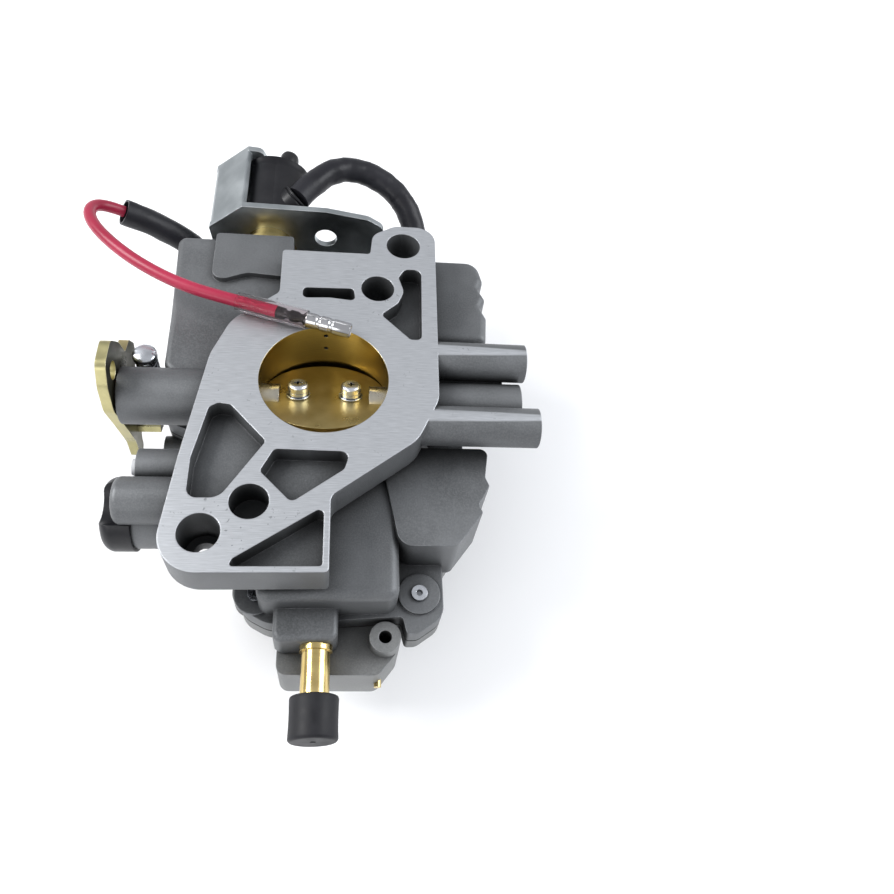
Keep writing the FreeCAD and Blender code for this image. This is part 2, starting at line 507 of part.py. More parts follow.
def throttle_stop_tab():
    """The tab on the lever that meets the idle speed screw when the throttle is closed."""
    tab_top = STOP_TIP_Z - TAB_GAP
    tab = box((SHAFT_LEFT - 0.4, STOP_Y - 2.4, tab_top - 1.8), (-44.4, STOP_Y + 2.4, tab_top))
    return turned(tab, -STOP_CLOSED, (0, 0, SHAFT_Z), X_AXIS)


def idle_speed_screw():
    """The throttle stop screw, parallel to the bore."""
    seat = STOP_SEAT_Z
    head = Part.makeCylinder(3.1, 2.6, V(STOP_X, STOP_Y, seat))
    head = softened(head, 1.0, at_height(seat + 2.6))
    head = head.cut(box((STOP_X - 4, STOP_Y - 0.4, seat + 1.5), (STOP_X + 4, STOP_Y + 0.4, seat + 4)))
    return head.fuse(Part.makeCylinder(STOP_SCREW_R, seat - STOP_TIP_Z, V(STOP_X, STOP_Y, STOP_TIP_Z)))


def idle_screw_spring():
    """The coil spring under the stop screw's head, as its outer shape."""
    low, high = HEIGHT - 19.0, STOP_SEAT_Z
    spring = Part.makeCylinder(2.9, high - low, V(STOP_X, STOP_Y, low))
    return spring.cut(Part.makeCylinder(STOP_SCREW_R + 0.3, high - low, V(STOP_X, STOP_Y, low)))


# ---- choke -------------------------------------------------------------------------------------------------
def choke_shaft():
    """The choke shaft with its flat."""
    shaft = rod(CHOKE_SHAFT_R, (-29.5, 0, CHOKE_Z), (CHOKE_LEVER_X, 0, CHOKE_Z))
    shaft = shaft.fuse(rod(2.2, (CHOKE_LEVER_X, 0, CHOKE_Z), (CHOKE_LEVER_X + 2.8, 0, CHOKE_Z)))
    low = CHOKE_BORE_R - 0.05
    shaft = shaft.cut(box((-low, -4, CHOKE_Z), (low, 4, CHOKE_Z + 4)))
    for side in (-1, 1):
        shaft = shaft.cut(Part.makeCylinder(1.25, 8, V(side * PLATE_SCREW_X, 0, CHOKE_Z - 4)))
    return shaft


def choke_plate():
    """The choke butterfly, with a notch on the nozzle's side."""
    plate = Part.makeCylinder(CHOKE_BORE_R - 0.2, 1.2, V(0, 0, CHOKE_Z))
    for side in (-1, 1):
        plate = plate.cut(Part.makeCylinder(1.25, 4, V(side * PLATE_SCREW_X, 0, CHOKE_Z - 1)))
    return plate.cut(Part.makeCylinder(1.8, 4, V(0, 9.5, CHOKE_Z - 1)))


def choke_plate_screws():
    """The two screws through the choke plate."""
    seat = CHOKE_Z + 1.2
    screws = [pan_screw(side * PLATE_SCREW_X, 0, seat, 1.25, 4.6, 2.2, 1.5) for side in (-1, 1)]
    return Part.makeCompound(screws)


def choke_lever():
    """The choke lever on the shaft's right end."""
    start, end = CHOKE_LEVER_X - 1, CHOKE_LEVER_X + 3
    plate = side_plate(CHOKE_LEVER, CHOKE_LEVER_X, CHOKE_LEVER_X + 1.8, 1.5)
    plate = plate.cut(rod(2.2, (start, 0, CHOKE_Z), (end, 0, CHOKE_Z)))
    return plate.cut(rod(1.1, (start, *CHOKE_LINK_HOLE), (end, *CHOKE_LINK_HOLE)))


# ---- fuel side ---------------------------------------------------------------------------------------------
def fuel_inlet_tube():
    """The brass inlet tube with its shoulder."""
    tube = rod(INLET_R, (INLET_X, INLET_END, INLET_Z), (INLET_X, -53.0, INLET_Z))
    tube = tube.fuse(rod(INLET_R + 0.5, (INLET_X, INLET_FACE - 1.4, INLET_Z), (INLET_X, INLET_FACE, INLET_Z)))
    return tube.cut(rod(INLET_R - 1.0, (INLET_X, INLET_END - 1, INLET_Z), (INLET_X, -52, INLET_Z)))


def inlet_cap():
    """The rubber cap over the inlet tube."""
    cap = rod(CAP_R, (INLET_X, INLET_END - 1.5, INLET_Z), (INLET_X, -71.8, INLET_Z))
    cap = softened(cap, 0.6, lambda e: e.Length > 30)
    return cap.cut(rod(INLET_R + 0.02, (INLET_X, INLET_END, INLET_Z), (INLET_X, -70, INLET_Z)))


def needle_seat():
    """The brass seat pressed in behind the inlet tube."""
    seat = rod(2.9, (INLET_X, -53.0, INLET_Z), (INLET_X, -48.1, INLET_Z))
    seat = seat.cut(rod(1.75, (INLET_X, -51.2, INLET_Z), (INLET_X, -48, INLET_Z)))
    return seat.cut(rod(1.0, (INLET_X, -54, INLET_Z), (INLET_X, -50, INLET_Z)))


def inlet_needle():
    """The inlet needle, whose cone shuts the seat."""
    stem = rod(1.68, (INLET_X, -49.8, INLET_Z), (INLET_X, -44.9, INLET_Z))
    tip = cone(0.9, 1.68, (INLET_X, -51.1, INLET_Z), (INLET_X, -49.8, INLET_Z))
    return stem.fuse(tip)


def float_pin():
    """The float's hinge pin."""
    return float_pin_rod(1.4)


def float_arm():
    """The float's hinge tube, its two arms and the tab that works the needle."""
    low, high = FLOAT_PIN_Y, FLOAT_PIN_Z
    tube = rod(2.1, (-8.0, low, high), (12.0, low, high))
    tab = box((INLET_X - 2.5, low - 0.6, INLET_Z - 2.5), (INLET_X + 2.5, low + 0.4, high))
    arms = [box((x, low, FLOAT_TOP), (x + 2.5, low + 1.0, high)) for x in (-8.0, 9.5)]
    foot = box((-8.0, low, FLOAT_TOP), (12.0, low + 8.5, FLOAT_TOP + 0.8))
    arm = fuse([tube, tab, foot] + arms)
    return arm.cut(rod(FLOAT_PIN_R + RUN_FIT, (-10, low, high), (14, low, high)))


def float_body():
    """The hollow-moulded float, as a closed block."""
    block = box((-8.5, -43.5, 12.5), (13.0, -33.5, FLOAT_TOP))
    return softened(block, 1.5, lambda e: e.Length > 9)


def main_nozzle():
    """The main nozzle across the choke bore."""
    nozzle = rod(1.6, (NOZZLE_X, -26.0, NOZZLE_Z), (NOZZLE_X, -4.0, NOZZLE_Z))
    nozzle = nozzle.cut(rod(0.8, (NOZZLE_X, -27, NOZZLE_Z), (NOZZLE_X, -5.5, NOZZLE_Z)))
    return nozzle.cut(Part.makeCylinder(0.6, 4, V(NOZZLE_X, -7.0, NOZZLE_Z)))


def main_jet():
    """The main jet, screwed against the chamber wall."""
    jet = rod(2.6, (NOZZLE_X, -28.6, NOZZLE_Z), (NOZZLE_X, -26.0, NOZZLE_Z))
    return jet.cut(rod(0.45, (NOZZLE_X, -29, NOZZLE_Z), (NOZZLE_X, -25, NOZZLE_Z)))


def mixture_screw():
    """The pilot mixture screw."""
    stem = rod(MIXTURE_R, (-43.2, MIXTURE_Y, MIXTURE_Z), (-29.0, MIXTURE_Y, MIXTURE_Z))
    tip = cone(MIXTURE_R, 0.4, (-29.0, MIXTURE_Y, MIXTURE_Z), (-26.2, MIXTURE_Y, MIXTURE_Z))
    return stem.fuse(tip)


def mixture_limiter():
    """The pale limiter cap on the mixture screw."""
    cap = rod(2.2, (-44.6, MIXTURE_Y, MIXTURE_Z), (-43.2, MIXTURE_Y, MIXTURE_Z))
    return cap.cut(box((-45, MIXTURE_Y - 3, MIXTURE_Z - 0.4), (-44.1, MIXTURE_Y + 3, MIXTURE_Z + 0.4)))


def side_plug():
    """The round black plug that closes the side bore."""
    disc = rod(9.0, (-51.0, PLUG_Y, PLUG_Z), (PLUG_FACE, PLUG_Y, PLUG_Z))
    disc = softened(disc, 2.8, lambda e: e.BoundBox.XMax < -50.9)
    disc = disc.fuse(rod(7.2, (PLUG_FACE, PLUG_Y, PLUG_Z), (-37.5, PLUG_Y, PLUG_Z)))
    return disc.cut(rod(5.7 + RUN_FIT, (-52, PLUG_Y - 1, HEIGHT - 8.8), (-40, PLUG_Y - 1, HEIGHT - 8.8)))


def passage_plug():
    """The brass plug pressed into the drilled passage of the rear casting."""
    return rod(0.9, (PASSAGE_PLUG_X, -66.4, PASSAGE_PLUG_Z), (PASSAGE_PLUG_X, -61.6, PASSAGE_PLUG_Z))


def body_screws():
    """The four screws that hold the castings together, put in from the air-horn side."""
    seat = SPLIT - GASKET_T - 5
    screws = []
    for i, (x, y) in enumerate(EAR_SCREWS):
        length = SPLIT + (6.6 if i < 2 else 11.5) - seat
        screw = Part.makeCylinder(3.5, 3.0, V(x, y, seat - 3))
        screw = screw.fuse(Part.makeCylinder(EAR_SCREW_R, length, V(x, y, seat)))
        turns = [math.radians(60 * k) for k in range(6)]
        socket = [(x + 1.5 * math.cos(turn), y + 1.5 * math.sin(turn)) for turn in turns]
        screw = screw.cut(slab(socket, seat - 4, seat - 1.4, 0))
        if i < 2:
            screw = screw.cut(Part.makeCylinder(0.8, 2, V(x, y, seat + length - 0.9)))
        screws.append(screw)
    return Part.makeCompound(screws)


# ---- solenoid ----------------------------------------------------------------------------------------------
def solenoid_turn(solid, degrees=COIL_TURN):
    """Turns a piece about the solenoid's own axis."""
    return turned(solid, degrees, (SOLENOID_X, 0, SOLENOID_Z), Y_AXIS)


def solenoid_base():
    """The brass base: a flange on the casting and a threaded spigot inside it."""
    x, z = SOLENOID_X, SOLENOID_Z
    base = rod(8.2, (x, SOLENOID_SEAT, z), (x, SOLENOID_SEAT + 1.4, z))
    base = base.fuse(rod(7.0, (x, SOLENOID_SEAT + 1.4, z), (x, FRAME_LOW, z)))
    base = base.fuse(rod(4.0, (x, 40.2, z), (x, SOLENOID_SEAT, z)))
    return base.cut(rod(2.1, (x, 40, z), (x, FRAME_LOW + 1, z)))


def solenoid_core():
    """The steel core tube that holds frame, coil and base together."""
    x, z = SOLENOID_X, SOLENOID_Z
    tube = rod(4.0, (x, FRAME_LOW, z), (x, 85.0, z))
    return tube.cut(rod(2.1, (x, FRAME_LOW - 1, z), (x, 72.0, z)))


def across_y(outline, low, high, radius=1.0):
    """A plate across Y from low to high, with its outline given as (x, z)."""
    plate = slab([(x, -z, *own) for x, z, *own in outline], 0, high - low, radius)
    plate.rotate(V(0, 0, 0), X_AXIS, -90)
    plate.translate(V(0, low, 0))
    return plate


def solenoid_frame():
    """The zinc-plated frame: a lower plate with a long drilled tail, a folded wall and an upper plate."""
    x, z = SOLENOID_X, SOLENOID_Z
    lower = across_y(FRAME_LOWER, FRAME_LOW, FRAME_LOW + FRAME_T)
    upper = across_y(FRAME_UPPER, FRAME_HIGH - FRAME_T, FRAME_HIGH)
    wall = across_y(FRAME_WALL, FRAME_LOW, FRAME_HIGH, 0.6)
    frame = fuse([lower, wall, upper])
    frame = frame.cut(rod(4.0, (x, FRAME_LOW - 1, z), (x, FRAME_HIGH + 3, z)))
    hole_x, hole_z = FRAME_HOLE
    return frame.cut(rod(FRAME_HOLE_R, (hole_x, FRAME_LOW - 1, hole_z), (hole_x, FRAME_LOW + 4, hole_z)))


def solenoid_coil():
    """The moulded coil with its lead boss and terminal stub."""
    x, z = SOLENOID_X, SOLENOID_Z
    low, high = FRAME_LOW + FRAME_T, FRAME_HIGH - FRAME_T
    coil = rod(7.3, (x, low, z), (x, high, z))
    block = box((x - 7.3, low + 1.5, z - 2), (x + 7.3, high - 2.5, z + 12.0))
    block = softened(block, 1.8, lambda e: e.Length > 10)
    coil = solenoid_turn(coil.fuse(block))
    start = V(*LEAD_ROUTE[0])
    boss = rod(4.6, (x + 3.5, 64.5, z + 6.5), tuple(start))
    stub = rod(2.7, STUB_START, STUB_END)
    coil = coil.fuse(boss).fuse(stub)
    coil = coil.cut(rod(LEAD_R, LEAD_ROUTE[0], LEAD_ROUTE[1]))
    return coil.cut(rod(4.0, (x, low - 1, z), (x, high + 1, z)))


def solenoid_plunger():
    """The plunger, whose tip shuts the main passage."""
    x, z = SOLENOID_X, SOLENOID_Z
    tip = cone(0.6, 2.05, (x, 38.0, z), (x, 41.0, z))
    return tip.fuse(rod(2.05, (x, 41.0, z), (x, 64.0, z)))


def plunger_spring():
    """The spring behind the plunger, as its outer shape."""
    x, z = SOLENOID_X, SOLENOID_Z
    spring = rod(1.9, (x, 64.0, z), (x, 69.0, z))
    return spring.cut(rod(1.3, (x, 63.0, z), (x, 70.0, z)))


# ---- wiring ------------------------------------------------------------------------------------------------
def cord_tube(name, route, radius):
    """A round tube of straight runs joined by tangent arcs; its arc radii and volume are printed."""
    points = [V(*point) for point in route]
    edges = []
    radii = []
    last = points[0]
    for before, corner, after in zip(points, points[1:], points[2:]):
        back, ahead = before - corner, after - corner
        half_turn = (math.pi - back.getAngle(ahead)) / 2
        reach = 0.45 * min(back.Length, ahead.Length)
        bend = reach / math.tan(half_turn)
        back.normalize()
        ahead.normalize()
        inward = back + ahead
        inward.normalize()
        start, end = corner + back * reach, corner + ahead * reach
        middle = corner + inward * (bend / math.cos(half_turn) - bend)
        edges.append(Part.LineSegment(last, start).toShape())
        edges.append(Part.Arc(start, middle, end).toShape())
        radii.append(round(bend, 1))
        last = end
    edges.append(Part.LineSegment(last, points[-1]).toShape())
    path = Part.Wire(edges)
    ring = Part.Wire(Part.makeCircle(radius, points[0], points[1] - points[0]))
    tube = path.makePipeShell([ring], True, True)
    length = sum(edge.Length for edge in edges)
    expected = math.pi * radius ** 2 * length
    print(name, "radii", radii, "length", round(length, 1), "volume ratio", round(tube.Volume / expected, 4))
    return tube


def terminal_axis(distance):
    """A point on the terminal's axis, this far from the end of the wire."""
    start, end = V(*WIRE_ROUTE[-2]), V(*WIRE_ROUTE[-1])
    ahead = end - start
    ahead.normalize()
    return tuple(end + ahead * distance)


def bullet_terminal():
    """The crimped bullet receptacle on the end of the wire."""
    barrel = rod(1.5, terminal_axis(0), terminal_axis(6.0))
    body = rod(1.95, terminal_axis(5.0), terminal_axis(TERMINAL_L))
    body = body.cut(rod(1.3, terminal_axis(TERMINAL_L - 8), terminal_axis(TERMINAL_L + 1)))
    ring = rod(2.3, terminal_axis(11.0), terminal_axis(12.2))
    ring = ring.cut(rod(1.7, terminal_axis(10), terminal_axis(13)))
    terminal = fuse([barrel, body])
    return terminal.cut(ring)


def clear_sleeve():
    """The clear insulating sleeve over the crimp."""
    tube = rod(2.5, terminal_axis(-10.5), terminal_axis(8.0))
    return tube.cut(rod(1.98, terminal_axis(-11), terminal_axis(9)))


# ---- export ------------------------------------------------------------------------------------------------
PIECES = [
    throttle_body, main_body, body_gasket, body_screws,
    throttle_shaft, throttle_plate, throttle_plate_screws, throttle_screw_washers, throttle_lever,
    throttle_stop_tab,
    idle_speed_screw, idle_screw_spring,
    choke_shaft, choke_plate, choke_plate_screws, choke_lever,
    fuel_inlet_tube, inlet_cap, needle_seat, inlet_needle, float_pin, float_arm, float_body,
    main_nozzle, main_jet, mixture_screw, mixture_limiter, side_plug, passage_plug,
    solenoid_base, solenoid_core, solenoid_frame, solenoid_coil, solenoid_plunger, plunger_spring,
    bullet_terminal, clear_sleeve,
]

os.makedirs("parts", exist_ok=True)
for piece in PIECES:
    export(piece.__name__, piece())
export("lead_sleeve", cord_tube("lead_sleeve", LEAD_ROUTE, LEAD_R))
export("red_wire", cord_tube("red_wire", WIRE_ROUTE, WIRE_R))
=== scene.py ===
"""Looks of the carburetor: lights, camera, materials and the detailed pieces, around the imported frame.

Lengths in the script are in metres, in the frame of the CAD part: +Z out of the engine flange, +Y towards the
fuel shut-off solenoid. Helpers come first, then materials, then one function for each detailed piece.
"""
import math

import bpy
from mathutils import Euler, Matrix, Vector, noise


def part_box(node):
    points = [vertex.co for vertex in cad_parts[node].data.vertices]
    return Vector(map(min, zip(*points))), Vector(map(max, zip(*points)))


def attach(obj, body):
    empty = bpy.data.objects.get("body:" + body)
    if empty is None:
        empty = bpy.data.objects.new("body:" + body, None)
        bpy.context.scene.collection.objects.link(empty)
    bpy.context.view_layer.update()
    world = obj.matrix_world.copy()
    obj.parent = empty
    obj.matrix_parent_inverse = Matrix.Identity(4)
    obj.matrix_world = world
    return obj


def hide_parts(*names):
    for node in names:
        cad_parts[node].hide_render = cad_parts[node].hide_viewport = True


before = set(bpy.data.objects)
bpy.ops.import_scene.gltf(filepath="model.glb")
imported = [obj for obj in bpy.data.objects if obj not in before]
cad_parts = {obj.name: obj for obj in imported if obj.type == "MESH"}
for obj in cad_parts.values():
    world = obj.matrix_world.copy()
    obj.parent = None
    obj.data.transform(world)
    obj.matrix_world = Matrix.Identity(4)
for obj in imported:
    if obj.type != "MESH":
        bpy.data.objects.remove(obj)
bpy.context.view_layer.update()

MM = 0.001
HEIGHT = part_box("throttle_body")[1].z          # engine flange face
BORE_R = 16.0 * MM
INSIDE_THROAT_R = 12.9 * MM                    # just inside the venturi's throat, whose wall stays as cast
SHAFT_Z = HEIGHT - 10.0 * MM                   # axis of the throttle shaft
PLATE_T = 1.5 * MM                             # throttle plate, which lies on the shaft's flat
PLATE_SCREW_X = 6.7 * MM
THROTTLE_OPEN = math.radians(25.0)             # how far the throttle plate stands open at rest
COIL_X = -17.5 * MM
COIL_Z = HEIGHT - 13.0 * MM
COIL_START = 59.3 * MM
COIL_END = 81.4 * MM
COIL_TURN = math.radians(12.0)                 # the coil block's turn about its own axis


def mm(x, y, z):
    """A point given in millimetres."""
    return Vector((x, y, z)) * MM


# ---- camera, floor and lights ------------------------------------------------------------------------------
CAMERA_PLACE = (0.00472, -0.11745, 0.22519)
CAMERA_TURN = (31.41, -7.04, -3.00)            # degrees
CAMERA_LENS = 31.8
CAMERA_SENSOR = 36.0
FLOOR_SIZE = 4.0


def add_camera():
    """The camera above the lower edge of the part, looking down at the engine flange."""
    data = bpy.data.cameras.new("camera")
    data.sensor_width = CAMERA_SENSOR
    data.lens = CAMERA_LENS
    data.clip_start = 0.005
    camera = bpy.data.objects.new("camera", data)
    camera.location = CAMERA_PLACE
    camera.rotation_euler = Euler([math.radians(angle) for angle in CAMERA_TURN])
    bpy.context.scene.collection.objects.link(camera)
    bpy.context.scene.camera = camera


def add_floor():
    """A plain pale floor in the plane that the part stands on."""
    mesh = bpy.data.meshes.new("floor")
    corners = [(x * FLOOR_SIZE, y * FLOOR_SIZE, 0) for x, y in ((-1, -1), (1, -1), (1, 1), (-1, 1))]
    mesh.from_pydata(corners, [], [(0, 1, 2, 3)])
    floor = bpy.data.objects.new("floor", mesh)
    bpy.context.scene.collection.objects.link(floor)
    floor.data.materials.append(floor_material())


def add_area_light(name, location, size, energy, colour=(1, 1, 1)):
    """A soft square light that faces the middle of the part."""
    data = bpy.data.lights.new(name, "AREA")
    data.size = size
    data.energy = energy
    data.color = colour
    light = bpy.data.objects.new(name, data)
    light.location = location
    aim = Vector((0, 0, HEIGHT / 2)) - light.location
    light.rotation_euler = aim.to_track_quat("-Z", "Y").to_euler()
    bpy.context.scene.collection.objects.link(light)


def add_lights():
    """Soft studio light: a key from the left, a weaker fill from the right, a faint low light and a world."""
    add_area_light("key", (-0.46, 0.06, 0.46), 0.30, 3.6)
    add_area_light("fill", (0.48, 0.06, 0.36), 0.35, 2.2, (0.95, 0.97, 1.0))
    add_area_light("low", (-0.30, -0.45, 0.30), 0.30, 0.8)
    world = bpy.data.worlds.new("studio")
    world.use_nodes = True
    background = world.node_tree.nodes["Background"]
    background.inputs["Color"].default_value = (0.94, 0.96, 1.0, 1)
    background.inputs["Strength"].default_value = 0.66
    bpy.context.scene.world = world
    bpy.context.scene.view_settings.view_transform = "Standard"


# ---- material helpers --------------------------------------------------------------------------------------
class Surface:
    """A Principled material with short calls for the nodes that feed it."""

    def __init__(self, name, colour, metallic=0.0, roughness=0.5, **sockets):
        self.material = bpy.data.materials.new(name)
        self.material.use_nodes = True
        self.tree = self.material.node_tree
        self.shader = self.tree.nodes["Principled BSDF"]
        self.set("Base Color", (*colour, 1.0))
        self.set("Metallic", metallic)
        self.set("Roughness", roughness)
        for socket, value in sockets.items():
            self.set(socket.replace("_", " "), value)
        self.place = self.node("ShaderNodeTexCoord").outputs["Object"]

    def set(self, socket, value):
        """Sets a socket of the shader, or links a node's output to it."""
        if isinstance(value, bpy.types.NodeSocket):
            self.tree.links.new(value, self.shader.inputs[socket])
        else:
            self.shader.inputs[socket].default_value = value

    def node(self, kind, **settings):
        made = self.tree.nodes.new(kind)
        for key, value in settings.items():
            setattr(made, key, value)
        return made

    def feed(self, node, values):
        """Sets or links the node's inputs, by name or number."""
        for key, value in values.items():
            if isinstance(value, bpy.types.NodeSocket):
                self.tree.links.new(value, node.inputs[key])
            else:
                node.inputs[key].default_value = value
        return node

    def math(self, operation, a, b=0.0, clamp=False):
        made = self.node("ShaderNodeMath", operation=operation, use_clamp=clamp)
        return self.feed(made, {0: a, 1: b}).outputs[0]

    def stretched(self, x, y, z):
        """The object's coordinates, scaled along each axis."""
        made = self.node("ShaderNodeVectorMath", operation="MULTIPLY")
        return self.feed(made, {0: self.place, 1: (x, y, z)}).outputs[0]

    def noise(self, scale, detail=3.0, roughness=0.55, place=None):
        made = self.node("ShaderNodeTexNoise")
        values = {"Vector": place or self.place, "Scale": scale, "Detail": detail, "Roughness": roughness}
        return self.feed(made, values).outputs["Fac"]

    def remap(self, value, low, high, to_low=0.0, to_high=1.0):
        made = self.node("ShaderNodeMapRange")
        names = ["Value", "From Min", "From Max", "To Min", "To Max"]
        return self.feed(made, dict(zip(names, (value, low, high, to_low, to_high)))).outputs[0]

    def mix(self, factor, a, b):
        """A mix of two colours."""
        made = self.node("ShaderNodeMix", data_type="RGBA")
        colours = [c if isinstance(c, bpy.types.NodeSocket) else (*c, 1.0) for c in (a, b)]
        return self.feed(made, {0: factor, 6: colours[0], 7: colours[1]}).outputs[2]

    def blend(self, factor, a, b):
        """A mix of two numbers."""
        made = self.node("ShaderNodeMix", data_type="FLOAT")
        return self.feed(made, {0: factor, 2: a, 3: b}).outputs[0]

    def bump(self, height, distance, strength=1.0, edge=0.0):
        """Bump from a height, over edges rounded by the radius edge."""
        made = self.node("ShaderNodeBump")
        values = {"Height": height, "Distance": distance, "Strength": strength}
        if edge:
            values["Normal"] = self.rounded(edge)
        self.set("Normal", self.feed(made, values).outputs[0])

    def rounded(self, radius):
        made = self.node("ShaderNodeBevel", samples=4)
        return self.feed(made, {"Radius": radius}).outputs[0]

    def cavity(self, reach):
        """0 deep inside hollows no wider than reach, and 1 on open surfaces."""
        made = self.node("ShaderNodeAmbientOcclusion", samples=6)
        return self.remap(self.feed(made, {"Distance": reach}).outputs["AO"], 0.30, 0.85)

    def edges(self, radius):
        """1 along sharp edges and 0 elsewhere."""
        geometry = self.node("ShaderNodeNewGeometry")
        made = self.node("ShaderNodeVectorMath", operation="DOT_PRODUCT")
        self.feed(made, {0: self.rounded(radius), 1: geometry.outputs["Normal"]})
        return self.remap(made.outputs["Value"], 0.985, 0.90)

    def facing(self, axis):
        """The surface normal's part along X, Y or Z (0, 1 or 2)."""
        geometry = self.node("ShaderNodeNewGeometry")
        made = self.node("ShaderNodeSeparateXYZ")
        return self.feed(made, {0: geometry.outputs["Normal"]}).outputs[axis]

    def along(self, axis):
        """The object's coordinate along X, Y or Z (0, 1 or 2)."""
        made = self.node("ShaderNodeSeparateXYZ")
        return self.feed(made, {0: self.place}).outputs[axis]


# ---- materials ---------------------------------------------------------------------------------------------
def floor_material():
    surface = Surface("floor_paint", (0.93, 0.93, 0.935), roughness=0.8)
    surface.set("Base Color", surface.mix(surface.noise(3.0), (0.92, 0.92, 0.925), (0.95, 0.95, 0.95)))
    return surface.material


# colour of the bright cast edges: partly wear, partly a painted highlight
LIT_WORN_EDGE = (0.42, 0.43, 0.45)
STAIN = (0.20, 0.21, 0.22)
MILLED = [(0.45, 0.465, 0.485), (0.56, 0.575, 0.60)]       # darkest and lightest
TURNED = [(0.34, 0.27, 0.11), (0.58, 0.47, 0.21)]
SKIN_METALLIC, MILLED_METALLIC = 0.55, 0.85
MILLED_ROUGHNESS, TURNED_ROUGHNESS = 0.42, 0.24


def casting_material(name, dark, light, face_height, face_side, bore_radius):
    """Die-cast aluminium: a grainy skin with bright edges, partly wear and partly a painted highlight,
    painted shade in its hollows, a face milled at face_height that looks up or down (face_side 1 or -1), and
    a turned look on what lies within bore_radius of the bore's axis."""
    surface = Surface(name, dark, metallic=SKIN_METALLIC, roughness=0.5)
    skin = surface.mix(surface.remap(surface.noise(45.0, 4.0), 0.35, 0.68), dark, light)
    grain = surface.noise(2600.0, 2.0)
    skin = surface.mix(surface.remap(grain, 0.40, 0.72, 0.0, 0.35), skin, tuple(1.5 * c for c in light))
    # bright edges: partly wear, partly a painted highlight where the edges catch the light
    lit_worn_edges = surface.edges(0.35 * MM)
    broken = surface.remap(surface.noise(350.0), 0.40, 0.60, 0.15, 0.75)
    skin = surface.mix(surface.math("MULTIPLY", lit_worn_edges, broken), skin, LIT_WORN_EDGE)
    # painted shade: hollows narrower than 9 mm fade to a dark copy of the skin colour
    skin = surface.mix(surface.cavity(9.0 * MM), tuple(0.28 * c for c in dark), skin)
    # milled face: fine parallel tool marks, small pits and a few stains
    marks = surface.noise(1.0, 3.0, place=surface.stretched(260.0, 5200.0, 1.0))
    pits = surface.remap(surface.noise(900.0, 2.0), 0.33, 0.29)
    patches = surface.remap(surface.noise(60.0, 3.0), 0.46, 0.62)
    milled = surface.mix(surface.remap(marks, 0.35, 0.65), *MILLED)
    pitted = surface.math("MULTIPLY", pits, patches)
    milled = surface.mix(surface.math("MULTIPLY", pitted, 0.7), milled, STAIN)
    up = surface.remap(surface.math("MULTIPLY", surface.facing(2), face_side), 0.90, 0.97)
    offset = surface.math("ABSOLUTE", surface.math("SUBTRACT", surface.along(2), face_height))
    near = surface.remap(offset, 0.25 * MM, 0.15 * MM)
    face = surface.math("MULTIPLY", up, near, clamp=True)
    colour = surface.mix(face, skin, milled)
    metallic = surface.blend(face, SKIN_METALLIC, MILLED_METALLIC)
    roughness = surface.blend(face, surface.remap(grain, 0.3, 0.7, 0.42, 0.60), MILLED_ROUGHNESS)
    # turned bore
    square = surface.math("ADD", surface.math("POWER", surface.along(0), 2.0),
                          surface.math("POWER", surface.along(1), 2.0))
    radius = surface.math("SQRT", square)
    bore = surface.remap(radius, bore_radius + 0.10 * MM, bore_radius + 0.02 * MM)
    rings = surface.noise(1.0, 2.0, place=surface.stretched(1.0, 1.0, 6000.0))
    turned = surface.mix(surface.remap(rings, 0.35, 0.65), *TURNED)
    surface.set("Base Color", surface.mix(bore, colour, turned))
    surface.set("Metallic", surface.blend(bore, metallic, 1.0))
    surface.set("Roughness", surface.blend(bore, roughness, TURNED_ROUGHNESS))
    machined = surface.math("MAXIMUM", face, bore)
    relief = surface.blend(machined, grain, surface.math("MULTIPLY", marks, 0.12))
    surface.bump(relief, 0.05 * MM, 0.9, edge=0.45 * MM)
    return surface.material


def metal_material(name, dark, light, roughness=0.25, grain=700.0, edge=0.15 * MM, edge_highlight=None,
                   depth=0.010 * MM, x_face_shade=None, hollow_shade_reach=0.0):
    """Plated or polished metal with faint mottling and a fine grain. Its edges may get a painted highlight
    and its flat faces across X a painted shade, and hollows narrower than the given reach get painted shade."""
    surface = Surface(name, dark, metallic=1.0, roughness=roughness)
    mottle = surface.remap(surface.noise(grain * 0.35, 4.0), 0.35, 0.65)
    colour = surface.mix(mottle, dark, light)
    # painted shade on the flat faces across X
    if x_face_shade:
        across = surface.remap(surface.math("ABSOLUTE", surface.facing(0)), 0.85, 0.97)
        colour = surface.mix(across, colour, x_face_shade)
    # painted highlight along the edges
    if edge_highlight:
        colour = surface.mix(surface.edges(edge), colour, edge_highlight)
    # painted shade: narrow hollows fade to a near-black copy of the dark colour
    if hollow_shade_reach:
        colour = surface.mix(surface.cavity(hollow_shade_reach), tuple(0.10 * c for c in dark), colour)
    surface.set("Base Color", colour)
    surface.set("Roughness", surface.remap(mottle, 0.0, 1.0, roughness * 0.8, roughness * 1.3))
    surface.bump(surface.noise(grain * 4.0, 2.0), depth, 0.7, edge=edge)
    return surface.material


def soft_material(name, dark, light, roughness, scale, depth, coat=0.0, edge=0.2 * MM):
    """Rubber, vinyl or moulded plastic with a fine uneven skin."""
    surface = Surface(name, dark, roughness=roughness, Coat_Weight=coat, Coat_Roughness=0.25,
                      Specular_IOR_Level=0.3)
    patches = surface.noise(scale * 0.12, 4.0)
    surface.set("Base Color", surface.mix(surface.remap(patches, 0.35, 0.65), dark, light))
    surface.set("Roughness", surface.remap(patches, 0.3, 0.7, roughness * 0.85, roughness * 1.15))
    surface.bump(surface.noise(scale, 3.0), depth, 0.8, edge=edge)
    return surface.material


def clear_material():
    """Clear soft vinyl, with a faint warm tint and small ripples."""
    surface = Surface("clear_vinyl", (1.0, 0.95, 0.94), roughness=0.05, Transmission_Weight=1.0, IOR=1.16)
    tint = surface.mix(surface.noise(300.0), (0.99, 0.93, 0.93), (0.94, 0.87, 0.88))
    surface.set("Base Color", tint)
    surface.bump(surface.noise(260.0, 1.0), 0.04 * MM, 0.3)
    return surface.material


